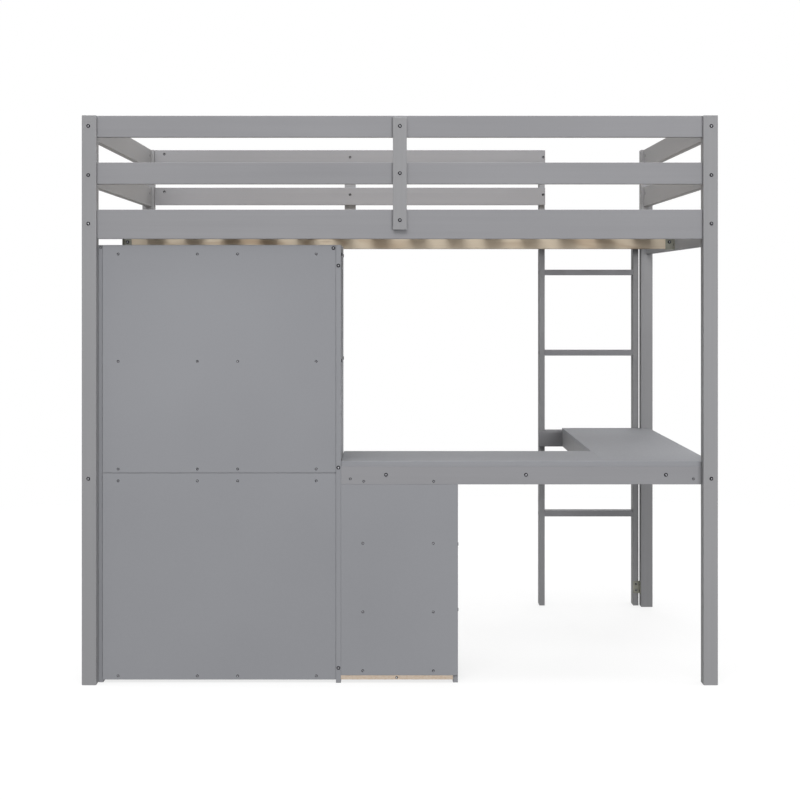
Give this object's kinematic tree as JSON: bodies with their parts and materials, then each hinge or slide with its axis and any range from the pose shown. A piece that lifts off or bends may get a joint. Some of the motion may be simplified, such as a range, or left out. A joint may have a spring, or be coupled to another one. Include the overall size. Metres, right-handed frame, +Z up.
{
  "type": "loft bed with desk",
  "caption": "High wooden bed on four posts with guard rails and a ladder, over an L-shaped desk, a bookcase with doors and a chest of drawers.",
  "frame": {"origin": "on the floor, below the centre of the bounding box", "axes": "+X along the bed to the bookcase end, +Y to the wall side, +Z up; the ladder side faces -Y"},
  "size_m": [2.02, 1.492, 1.81],
  "materials": {
    "grey_paint": "satin grey lacquer on wood and board",
    "bare_pine": "planed, unfinished",
    "bare_board": "raw board, unfinished",
    "birch_plywood": "clear lacquer",
    "zinc_steel": "zinc plated sheet"
  },
  "bodies": {
    "root": {"beam_hanger_left": "zinc_steel", "beam_hanger_right": "zinc_steel", "bookcase_back_lower": "grey_paint", "bookcase_back_upper": "grey_paint", "bookcase_bottom": "grey_paint", "bookcase_lower_divider": "grey_paint", "bookcase_middle_deck": "grey_paint", "bookcase_shelf": "grey_paint", "bookcase_side_left": "grey_paint", "bookcase_side_right": "grey_paint", "bookcase_top": "grey_paint", "bookcase_upper_divider": "grey_paint", "centre_beam": "bare_pine", "desk_front_rail": "grey_paint", "desk_main_top": "grey_paint", "desk_rear_apron": "grey_paint", "desk_return_apron": "grey_paint", "desk_return_top": "grey_paint", "front_bed_rail": "grey_paint", "front_guard_rail_middle": "grey_paint", "front_guard_rail_top": "grey_paint", "front_guard_stile": "grey_paint", "ladder_step_1": "grey_paint", "ladder_step_2": "grey_paint", "ladder_step_3": "grey_paint", "ladder_step_4": "grey_paint", "ladder_stile_inner": "grey_paint", "ladder_stile_outer": "grey_paint", "ladder_tie_plate": "zinc_steel", "left_end_bed_rail": "grey_paint", "left_end_desk_rail": "grey_paint", "left_end_rail_middle": "grey_paint", "left_end_rail_top": "grey_paint", "pedestal_back": "grey_paint", "pedestal_bottom": "bare_board", "pedestal_lower_divider": "grey_paint", "pedestal_side": "grey_paint", "pedestal_top": "grey_paint", "pedestal_upper_divider": "grey_paint", "post_front_left": "grey_paint", "post_front_right": "grey_paint", "post_rear_left": "grey_paint", "post_rear_right": "grey_paint", "rear_bed_rail": "grey_paint", "rear_guard_rail_middle": "grey_paint", "rear_guard_rail_top": "grey_paint", "rear_guard_stile": "grey_paint", "right_end_bed_rail": "grey_paint", "right_end_desk_rail": "grey_paint", "right_end_rail_middle": "grey_paint", "right_end_rail_top": "grey_paint", "slat_roll": "bare_pine"},
    "left_door": {"door_left": "grey_paint"},
    "right_door": {"door_right": "grey_paint"},
    "top_drawer": {"drawer_front_top": "grey_paint", "drawer_box_top": "birch_plywood"},
    "middle_drawer": {"drawer_front_middle": "grey_paint", "drawer_box_middle": "birch_plywood"},
    "bottom_drawer": {"drawer_front_bottom": "grey_paint", "drawer_box_bottom": "birch_plywood"}
  },
  "joints": [
    {"name": "left_door_hinge", "type": "hinge", "parent": "root", "child": "left_door", "pos_m": [0.205, 0.379, 0.33], "axis": [0, 0, -1], "range_deg": [0, 90]},
    {"name": "right_door_hinge", "type": "hinge", "parent": "root", "child": "right_door", "pos_m": [0.947, 0.379, 0.33], "axis": [0, 0, 1], "range_deg": [0, 90]},
    {"name": "top_drawer_slide", "type": "slide", "parent": "root", "child": "top_drawer", "axis": [0, -1, 0], "range_m": [0, 0.23]},
    {"name": "middle_drawer_slide", "type": "slide", "parent": "root", "child": "middle_drawer", "axis": [0, -1, 0], "range_m": [0, 0.23]},
    {"name": "bottom_drawer_slide", "type": "slide", "parent": "root", "child": "bottom_drawer", "axis": [0, -1, 0], "range_m": [0, 0.23]}
  ]
}
